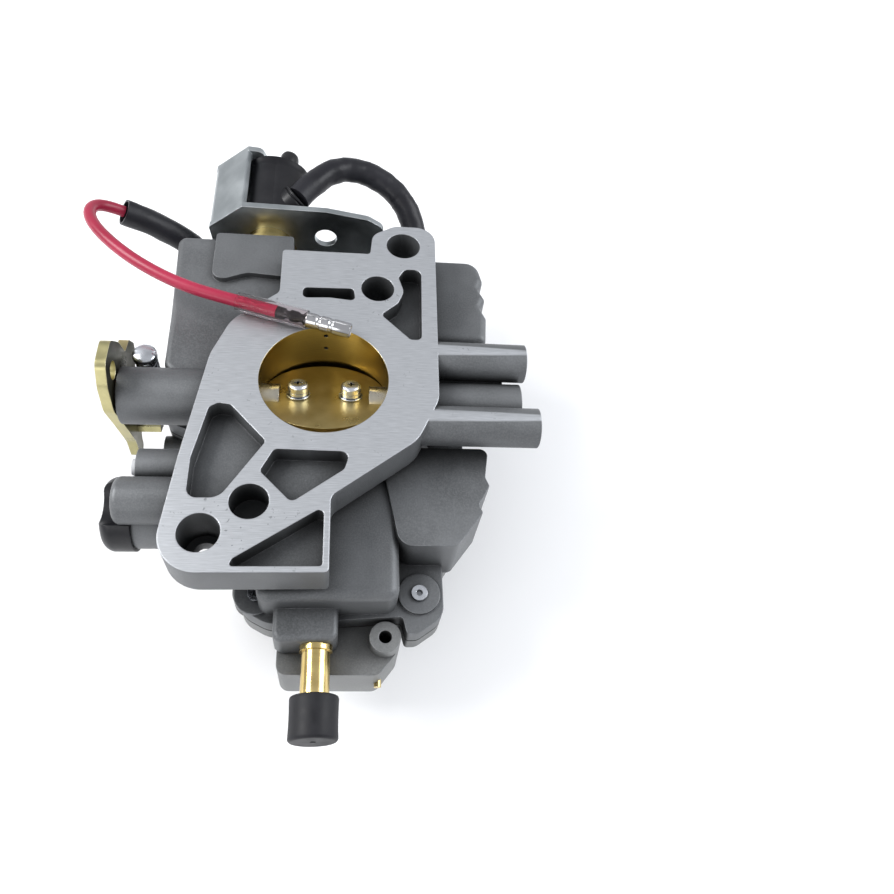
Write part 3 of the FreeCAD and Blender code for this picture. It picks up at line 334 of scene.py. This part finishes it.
MATERIALS = {
    "front_casting": casting_material("front_casting", (0.105, 0.109, 0.113), (0.160, 0.166, 0.172),
                                      HEIGHT, 1.0, BORE_R),
    "rear_casting": casting_material("rear_casting", (0.150, 0.154, 0.154), (0.225, 0.229, 0.227),
                                     0.0, -1.0, INSIDE_THROAT_R),
    "gasket": soft_material("gasket_fibre", (0.020, 0.020, 0.021), (0.045, 0.045, 0.045),
                            0.85, 2600.0, 0.06 * MM),
    # bright zinc: painted shade in the screws' recesses
    "zinc_steel": metal_material("bright_zinc", (0.52, 0.54, 0.57), (0.70, 0.72, 0.76), 0.24,
                                 hollow_shade_reach=1.2 * MM),
    # zinc sheet: painted highlight along the edges
    "frame_zinc": metal_material("zinc_sheet", (0.36, 0.39, 0.40), (0.50, 0.53, 0.54), 0.36, 260.0,
                                 0.25 * MM, (0.75, 0.78, 0.80)),
    "shaft_steel": metal_material("shaft_steel", (0.42, 0.39, 0.33), (0.58, 0.54, 0.45), 0.28),
    "brass": metal_material("brass", (0.56, 0.42, 0.16), (0.74, 0.58, 0.26), 0.20, 420.0),
    "plate_brass": metal_material("plate_brass", (0.47, 0.37, 0.15), (0.62, 0.50, 0.23), 0.30, 300.0),
    # yellow zinc: painted highlight on the edges and painted shade on the faces across X
    "yellow_zinc": metal_material("yellow_zinc", (0.36, 0.33, 0.17), (0.56, 0.51, 0.27), 0.34, 330.0,
                                  0.22 * MM, (0.78, 0.73, 0.48), x_face_shade=(0.085, 0.080, 0.045)),
    # tin plate: painted highlight along the edges and painted shade in the crimps' hollows
    "tin_plate": metal_material("tin_plate", (0.48, 0.48, 0.49), (0.62, 0.62, 0.63), 0.20, 260.0,
                                0.12 * MM, (0.93, 0.93, 0.94), 0.002 * MM, hollow_shade_reach=1.6 * MM),
    "rubber": soft_material("black_rubber", (0.006, 0.006, 0.008), (0.014, 0.014, 0.017),
                            0.55, 1800.0, 0.03 * MM),
    "black_plastic": soft_material("black_plastic", (0.006, 0.006, 0.008), (0.014, 0.014, 0.016),
                                   0.38, 900.0, 0.02 * MM, edge=0.4 * MM),
    "sleeve": soft_material("black_vinyl", (0.008, 0.008, 0.011), (0.020, 0.020, 0.025),
                            0.45, 420.0, 0.18 * MM),
    "red_vinyl": soft_material("red_vinyl", (0.27, 0.010, 0.036), (0.36, 0.018, 0.055),
                               0.40, 500.0, 0.03 * MM, coat=0.2),
    "pale_plastic": soft_material("pale_plastic", (0.55, 0.56, 0.58), (0.68, 0.69, 0.70),
                                  0.45, 900.0, 0.02 * MM),
    "float_plastic": soft_material("float_plastic", (0.03, 0.03, 0.032), (0.06, 0.06, 0.06),
                                   0.6, 1500.0, 0.03 * MM),
    "clear_vinyl": clear_material(),
}
NODE_MATERIALS = {
    "front_casting": ["throttle_body"],
    "rear_casting": ["main_body"],
    "gasket": ["body_gasket"],
    "zinc_steel": ["body_screws", "throttle_plate_screws", "choke_plate_screws", "solenoid_core"],
    "frame_zinc": ["solenoid_frame"],
    "shaft_steel": ["throttle_shaft", "choke_shaft", "inlet_needle", "float_pin", "solenoid_plunger"],
    "brass": ["fuel_inlet_tube", "needle_seat", "float_arm", "main_nozzle", "main_jet", "mixture_screw",
              "passage_plug", "solenoid_base"],
    "plate_brass": ["throttle_plate", "choke_plate"],
    "yellow_zinc": ["throttle_lever", "throttle_stop_tab", "choke_lever"],
    "black_plastic": ["side_plug"],
    "pale_plastic": ["mixture_limiter"],
    "float_plastic": ["float_body"],
}


def paint_nodes():
    """Gives the carried-over CAD nodes their materials."""
    for material, nodes in NODE_MATERIALS.items():
        for node in nodes:
            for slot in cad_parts[node].material_slots:
                slot.material = MATERIALS[material]


# ---- mesh helpers ------------------------------------------------------------------------------------------
def new_piece(name, vertices, faces, material, smooth_angle=35.0):
    """A mesh piece with smooth shading up to an angle."""
    mesh = bpy.data.meshes.new(name)
    mesh.from_pydata(vertices, [], faces)
    mesh.materials.append(MATERIALS[material])
    mesh.validate()
    piece = bpy.data.objects.new(name, mesh)
    bpy.context.scene.collection.objects.link(piece)
    mesh.shade_smooth()
    mesh.set_sharp_from_angle(angle=math.radians(smooth_angle))
    return piece


def grid_faces(rings, around, closed_ends=(True, True), joined=False):
    """Faces of a tube of rings, with end caps, or with its last ring joined to its first."""
    faces = []
    count = rings if joined else rings - 1
    for i in range(count):
        here, following = i * around, ((i + 1) % rings) * around
        for k in range(around):
            beside = (k + 1) % around
            faces.append((here + k, here + beside, following + beside, following + k))
    if not joined and closed_ends[0]:
        faces.append(tuple(reversed(range(around))))
    if not joined and closed_ends[1]:
        last = (rings - 1) * around
        faces.append(tuple(range(last, last + around)))
    return faces


def profile_mm(points):
    """A profile of (radius, distance) points given in millimetres."""
    return [(radius * MM, distance * MM) for radius, distance in points]


def axis_frame(start, ahead):
    """A matrix whose Z axis runs from start along ahead."""
    turn = ahead.normalized().to_track_quat("Z", "Y").to_matrix().to_4x4()
    return Matrix.Translation(start) @ turn


def lathe(name, profile, start, ahead, material, around=64, shape=None, closed=False, smooth_angle=35.0):
    """A turned piece. The profile is (radius, distance along the axis), and shape(angle, radius, distance)
    may change the radius. A closed profile makes a tube with a hole."""
    placed = axis_frame(start, ahead)
    vertices = []
    for radius, distance in profile:
        for k in range(around):
            angle = 2 * math.pi * k / around
            own = shape(angle, radius, distance) if shape else radius
            vertices.append(placed @ Vector((own * math.cos(angle), own * math.sin(angle), distance)))
    faces = grid_faces(len(profile), around, joined=closed)
    return new_piece(name, vertices, faces, material, smooth_angle)


def sweep(name, path, radius_at, material, around=20, closed_ends=(True, True)):
    """A tube along a path, with radius_at(share of the path, angle)."""
    vertices = []
    up = Vector((0, 0, 1))
    for i, point in enumerate(path):
        ahead = (path[min(i + 1, len(path) - 1)] - path[max(i - 1, 0)]).normalized()
        side = up.cross(ahead).normalized()
        up = ahead.cross(side)
        share = i / (len(path) - 1)
        for k in range(around):
            angle = 2 * math.pi * k / around
            radius = radius_at(share, angle)
            vertices.append(point + side * (radius * math.cos(angle)) + up * (radius * math.sin(angle)))
    return new_piece(name, vertices, grid_faces(len(path), around, closed_ends), material)


def coil_spring(name, centre, axis, radius, wire, length, turns, material):
    """A compression spring with closed ends, from centre along axis."""
    steps_per_turn = 28
    flat = 0.6                                 # turns at each end that don't rise
    steps = int(turns * steps_per_turn)
    placed = axis_frame(centre, axis)
    path = []
    for i in range(steps + 1):
        share = i / steps
        angle = 2 * math.pi * turns * share
        # the turns next to the flat ends rise more gently than the middle ones
        even = min(max((share * turns - flat) / (turns - 2 * flat), 0), 1)
        eased = 0.5 - 0.5 * math.cos(math.pi * even)
        rise = wire + (length - 2 * wire) * (0.35 * eased + 0.65 * even)
        path.append(placed @ Vector((radius * math.cos(angle), radius * math.sin(angle), rise)))
    return sweep(name, path, lambda share, angle: wire, material, around=12)


def spline_object(name, route):
    """A smooth open NURBS curve with the route's points as its control points."""
    data = bpy.data.curves.new(name, "CURVE")
    data.dimensions = "3D"
    spline = data.splines.new("NURBS")
    spline.points.add(len(route) - 1)
    for point, place in zip(spline.points, route):
        point.co = (*place, 1.0)
    spline.order_u = 3
    spline.use_endpoint_u = True
    spline.resolution_u = 16
    piece = bpy.data.objects.new(name, data)
    bpy.context.scene.collection.objects.link(piece)
    return piece


def spline_points(route):
    """The points that the route's NURBS curve runs through."""
    guide = spline_object("guide", route)
    mesh = bpy.data.meshes.new_from_object(guide)
    points = [vertex.co.copy() for vertex in mesh.vertices]
    bpy.data.objects.remove(guide)
    bpy.data.meshes.remove(mesh)
    return points


# ---- wiring ------------------------------------------------------------------------------------------------
LEAD_R = 3.5 * MM
WIRE_R = 1.6 * MM
LEAD_ROUTE = [mm(x, y, z) + Vector((0, 0, HEIGHT)) for x, y, z in [
    (-9.5, 67.5, -3.5), (-1.5, 79.0, -1.5), (11.5, 82.5, -4.5), (23.0, 76.0, -9.5),
    (27.5, 65.0, -19.0), (22.5, 59.3, -32.0), (9.0, 58.6, -41.5), (-7.5, 59.0, -46.0),
    (-23.5, 59.6, -41.0), (-35.0, 60.4, -28.0), (-43.5, 60.8, -13.5), (-57.5, 59.0, -4.5),
]]
WIRE_ROUTE = [mm(x, y, z) + Vector((0, 0, HEIGHT)) for x, y, z in [
    (-57.5, 59.0, -4.5), (-62.265, 58.387, -1.437), (-64.6, 53.6, 1.4), (-62.6, 46.8, 2.8),
    (-56.0, 38.6, 3.6), (-47.0, 31.2, 3.6), (-36.0, 25.2, 3.2), (-24.0, 21.6, 2.9), (-12.5, 18.4, 2.75),
]]


def add_lead_sleeve():
    """The black sleeve over the lead, creased where it bends and open at its far end."""
    path = spline_points(LEAD_ROUTE)
    seed = Vector((3.1, 0.7, 5.3))
    around = 28

    def ripple(start, share, angle, along, across):
        x, y = math.cos(angle) * across, math.sin(angle) * across
        return noise.noise(start + Vector((share * along, x, y)))

    def radius_at(share, angle):
        creases = ripple(seed, share, angle, 46, 1.1)
        folds = ripple(seed * 2, share, angle, 120, 0.7)
        return LEAD_R * (1.03 + 0.07 * creases + 0.035 * folds)

    sleeve = sweep("lead_sleeve_skin", path, radius_at, "sleeve", around=around, closed_ends=(True, False))
    # inner wall of the open mouth
    wall = 0.55 * MM
    depth = 6.0 * MM
    ahead = (path[-1] - path[-2]).normalized()
    rim = [vertex.co.copy() for vertex in sleeve.data.vertices[-around:]]
    inner = [path[-1] + (co - path[-1]) * (1 - wall / LEAD_R) for co in rim]
    deep = [co - ahead * depth for co in inner]
    lip = new_piece("lead_sleeve_mouth", rim + inner + deep, grid_faces(3, around, (False, True)), "sleeve")
    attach(sleeve, "body")
    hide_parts("lead_sleeve")
    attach(lip, "body")


def terminal_axis():
    """The end of the wire and the direction in which the terminal points."""
    return WIRE_ROUTE[-1], (WIRE_ROUTE[-1] - WIRE_ROUTE[-2]).normalized()


def add_red_wire():
    """The red wire, its clear sleeve and the bullet receptacle on its end."""
    wire = spline_object("red_wire_line", WIRE_ROUTE)
    wire.data.bevel_depth = WIRE_R
    wire.data.bevel_resolution = 8
    wire.data.use_fill_caps = True
    wire.data.materials.append(MATERIALS["red_vinyl"])
    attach(wire, "body")
    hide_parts("red_wire")
    end, ahead = terminal_axis()
    terminal = add_terminal(end, ahead)
    sleeve = add_clear_sleeve(end, ahead)


def add_terminal(end, ahead):
    """The bullet receptacle: crimped wings, a waist, two rolled beads and an open mouth."""
    crimp = [(0.3, -0.4), (1.45, -0.4), (1.55, 0.2), (1.50, 2.2), (1.05, 2.6), (1.05, 3.3), (1.50, 3.7),
             (1.45, 5.6), (1.10, 6.2), (1.10, 6.9)]
    barrel = [(1.90, 7.6), (1.95, 8.0), (1.95, 10.6), (1.72, 10.9), (1.72, 11.5), (1.95, 11.8), (1.95, 13.9),
              (1.72, 14.2), (1.72, 14.8), (1.95, 15.1), (1.95, 19.1)]
    mouth = [(1.80, 19.5), (1.45, 19.5), (1.32, 19.2), (1.32, 12.0), (0.3, 11.6)]
    profile = profile_mm(crimp + barrel + mouth)
    crimp_end = 6.5 * MM
    seam_width = 0.09                          # radians

    def shape(angle, radius, distance):
        if distance < crimp_end and radius > 1.0 * MM:
            return radius * (1 - 0.16 * abs(math.sin(angle)) ** 6 + 0.05 * math.cos(3 * angle))
        seam = max(0.0, 1 - abs(angle - math.pi / 2) / seam_width)
        return radius * (1 - 0.10 * seam) if radius > 1.4 * MM else radius

    terminal = lathe("bullet_receptacle", profile, end, ahead, "tin_plate", around=72, shape=shape)
    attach(terminal, "body")
    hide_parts("bullet_terminal")
    return terminal


def add_clear_sleeve(end, ahead):
    """The clear sleeve over the crimp, a thin tube that is slightly uneven along its length and round it."""
    outer, inner = 2.45 * MM, 2.05 * MM
    low, high = -10.4 * MM, 8.0 * MM
    steps = 26
    profile = []
    for i in range(steps + 1):
        share = i / steps
        swell = 0.05 * MM * math.sin(share * 17.0)
        end_step = 0.15 * MM if i < 2 else 0.0
        profile.append((outer + swell - end_step, low + (high - low) * share))
    profile += [(inner + (radius - outer) * 0.8, distance) for radius, distance in reversed(profile)]

    def shape(angle, radius, distance):
        return radius * (1 + 0.012 * math.cos(2 * angle + distance * 500))

    sleeve = lathe("clear_sleeve_tube", profile, end, ahead, "clear_vinyl", around=56, shape=shape,
                   closed=True)
    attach(sleeve, "body")
    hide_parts("clear_sleeve")
    return sleeve


# ---- screws, springs and washers ---------------------------------------------------------------------------
def threaded_profile(radius, start, length, pitch, steps_per_turn=10):
    """A list of (radius, distance) points down a threaded shank, for threaded_shape."""
    count = int(length / pitch * steps_per_turn)
    return [(radius, start + length * i / count) for i in range(count + 1)]


def threaded_shape(start, end, pitch, depth):
    """A shape function for lathe that cuts a helical thread between two distances."""
    def shape(angle, radius, distance):
        if not start < distance < end:
            return radius
        phase = (distance / pitch - angle / (2 * math.pi)) % 1.0
        return radius - depth * abs(2 * phase - 1) * min(1.0, (end - distance) / pitch)
    return shape


def add_stop_screw():
    """The idle speed screw with its domed, slotted head, and the spring under it."""
    low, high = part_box("idle_speed_screw")
    axis_x, axis_y = (low.x + high.x) / 2, (low.y + high.y) / 2
    top = Vector((axis_x, axis_y, high.z))
    length = high.z - low.z
    head_r, head_h, shank_r = 3.1 * MM, 2.6 * MM, 1.5 * MM
    pitch, thread_depth = 0.7 * MM, 0.28 * MM
    slot_half = 0.45 * MM
    dome = [(head_r * math.sin(a), head_h * 0.42 * (1 - math.cos(a))) for a in
            [math.radians(6 + 12 * i) for i in range(8)]]
    profile = dome + [(head_r, head_h * 0.85), (head_r * 0.93, head_h), (shank_r, head_h)]
    profile += threaded_profile(shank_r, head_h + 0.1 * MM, length - head_h - 0.8 * MM, pitch)
    profile += [(shank_r * 0.75, length)]
    thread = threaded_shape(head_h + 0.5 * MM, length - 0.4 * MM, pitch, thread_depth)

    def shape(angle, radius, distance):
        if distance < head_h * 0.75 and radius > head_r * 0.2:
            # a shallow slot across the head
            in_slot = abs(radius * math.sin(angle)) < slot_half and distance < head_h * 0.4
            return radius * (0.90 if in_slot else 1.0)
        return thread(angle, radius, distance)

    screw = lathe("stop_screw", profile, top, Vector((0, 0, -1)), "zinc_steel", around=48, shape=shape)
    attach(screw, "stop_screw")
    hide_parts("idle_speed_screw")
    low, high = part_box("idle_screw_spring")
    coil_r, wire_r, turns = 2.35 * MM, 0.52 * MM, 6.0
    spring = coil_spring("stop_screw_spring", Vector((axis_x, axis_y, low.z)), Vector((0, 0, 1)), coil_r,
                         wire_r, high.z - low.z, turns, "zinc_steel")
    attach(spring, "body")
    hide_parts("idle_screw_spring")


def add_plunger_spring():
    """The spring behind the plunger."""
    low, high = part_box("plunger_spring")
    base = Vector(((low.x + high.x) / 2, low.y, (low.z + high.z) / 2))
    coil_r, wire_r, turns = 1.6 * MM, 0.25 * MM, 7.0
    spring = coil_spring("plunger_return_spring", base, Vector((0, 1, 0)), coil_r, wire_r, high.y - low.y,
                         turns, "shaft_steel")
    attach(spring, "plunger")
    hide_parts("plunger_spring")


def add_washers():
    """A flat washer and a lock washer under each throttle plate screw."""
    open_turn = Matrix.Rotation(-THROTTLE_OPEN, 4, "X")
    pivot = Matrix.Translation((0, 0, SHAFT_Z))
    axis = open_turn.to_3x3() @ Vector((0, 0, 1))
    flat = profile_mm([(1.62, 0.02), (3.05, 0.02), (3.10, 0.10), (3.10, 0.42), (3.02, 0.50), (1.62, 0.50)])
    lock = profile_mm([(1.62, 0.52), (2.45, 0.52), (2.60, 0.60), (2.60, 1.46), (2.50, 1.55), (1.62, 1.55)])
    for side, name in ((-1, "left"), (1, "right")):
        base = pivot @ open_turn @ Vector((side * PLATE_SCREW_X, 0, PLATE_T))
        washer = lathe("flat_washer_" + name, flat, base, axis, "zinc_steel", around=48, closed=True)
        lock_washer = lathe("lock_washer_" + name, lock, base, axis, "zinc_steel", around=48, closed=True)
        for piece in (washer, lock_washer):
            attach(piece, "throttle")
        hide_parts("throttle_screw_washers")


# ---- fuel side ---------------------------------------------------------------------------------------------
def add_inlet_cap():
    """The rubber cap, with a nib on its rounded end, a bevelled mouth and a slightly waisted side."""
    low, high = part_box("inlet_cap")
    radius = (high.x - low.x) / 2
    closed_end = Vector(((low.x + high.x) / 2, low.y, (low.z + high.z) / 2))
    length = high.y - low.y
    bore = 3.42 * MM
    rim = 0.8 * MM
    nib = 0.14 * MM                            # how far the nib in the middle stands out of the closed end
    waist = 0.10 * MM
    profile = [(0.15 * MM, 0.0), (0.6 * MM, 0.0), (0.75 * MM, 0.18 * MM), (radius - rim, nib)]
    profile += [(radius - rim + rim * math.sin(a), nib + rim * (1 - math.cos(a)))
                for a in [math.radians(15 * i) for i in range(1, 7)]]
    profile += [(radius - waist * math.sin(math.pi * i / 8), rim + (length - 1.5 * rim) * i / 8)
                for i in range(1, 8)]
    profile += [(radius, length - 0.5 * MM), (radius - 0.15 * MM, length - 0.1 * MM),
                (radius - 0.5 * MM, length), (bore + 0.4 * MM, length), (bore, length - 0.4 * MM),
                (bore, 1.6 * MM), (0.15 * MM, 1.5 * MM)]
    cap = lathe("rubber_cap", profile, closed_end, Vector((0, 1, 0)), "rubber", around=72)
    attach(cap, "cap")
    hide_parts("inlet_cap")


# ---- solenoid ----------------------------------------------------------------------------------------------
def coil_radius(angle, share):
    """The coil block's radius at an angle and a share of its length: a rounded square, taller above its axis,
    with grooves between its flared ends."""
    x, z = math.cos(angle), math.sin(angle)
    half_width, extra_height, limit = 7.4, 5.4, 14.6
    groove_depth, groove_count, inset = 0.5, 7, 0.55
    flare = 0.09                               # share of the length that each flared end takes up
    ends = max(0.0, 1 - share / flare) + max(0.0, 1 - (1 - share) / flare)
    between = 1 - min(1.0, ends)
    square = (abs(x) ** 5 + abs(z) ** 5) ** -0.2
    reach = half_width + extra_height * max(0.0, z) ** 1.5
    grooves = groove_depth * max(0.0, math.cos(angle * groove_count + 0.6)) ** 12
    return min(reach * (square * 0.62 + 0.38) - grooves * between - inset * between, limit) * MM


def moulded_boss(name, profile, start, end):
    """A turned boss of the coil's moulding. The profile is (radius in mm, share of the way to end)."""
    ahead = end - start
    profile = [(radius * MM, share * ahead.length) for radius, share in profile]
    return lathe(name, profile, start, ahead, "black_plastic", around=48)


def add_coil():
    """The moulded coil, with flared ends, grooves along its sides, the lead's boss and the second outlet."""
    around, rings = 96, 34
    turn_cos, turn_sin = math.cos(COIL_TURN), math.sin(COIL_TURN)
    vertices = []
    for i in range(rings):
        share = i / (rings - 1)
        y = COIL_START + (COIL_END - COIL_START) * share
        for k in range(around):
            angle = 2 * math.pi * k / around
            radius = coil_radius(angle, share)
            local_x, local_z = radius * math.cos(angle), radius * math.sin(angle)
            vertices.append(Vector((COIL_X + local_x * turn_cos + local_z * turn_sin, y,
                                    COIL_Z - local_x * turn_sin + local_z * turn_cos)))
    coil = new_piece("coil_moulding", vertices, grid_faces(rings, around), "black_plastic", 40.0)
    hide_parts("solenoid_coil")
    boss = [(0.4, 0), (4.4, 0), (4.5, 0.3), (4.5, 0.80), (4.2, 0.86), (4.6, 0.90), (4.6, 0.98), (4.3, 1.0),
            (0.4, 1.0)]
    lead_boss = moulded_boss("coil_lead_boss", boss, mm(-14.0, 64.5, 57.5), LEAD_ROUTE[0])
    stub = [(0.3, 0), (2.9, 0), (2.8, 0.55), (2.45, 0.60), (2.45, 0.68), (2.8, 0.73), (2.75, 0.94),
            (2.4, 1.0), (1.3, 1.0), (1.2, 0.93), (0.3, 0.93)]
    outlet = moulded_boss("coil_outlet", stub, mm(-16.5, 72.0, 58.0), mm(-12.5, 86.0, 60.0))
    for piece in (coil, lead_boss, outlet):
        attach(piece, "body")


# ---- the scene ---------------------------------------------------------------------------------------------
add_camera()
add_lead_sleeve()
add_red_wire()
add_stop_screw()
add_plunger_spring()
add_washers()
add_inlet_cap()
add_coil()
paint_nodes()
add_floor()
add_lights()
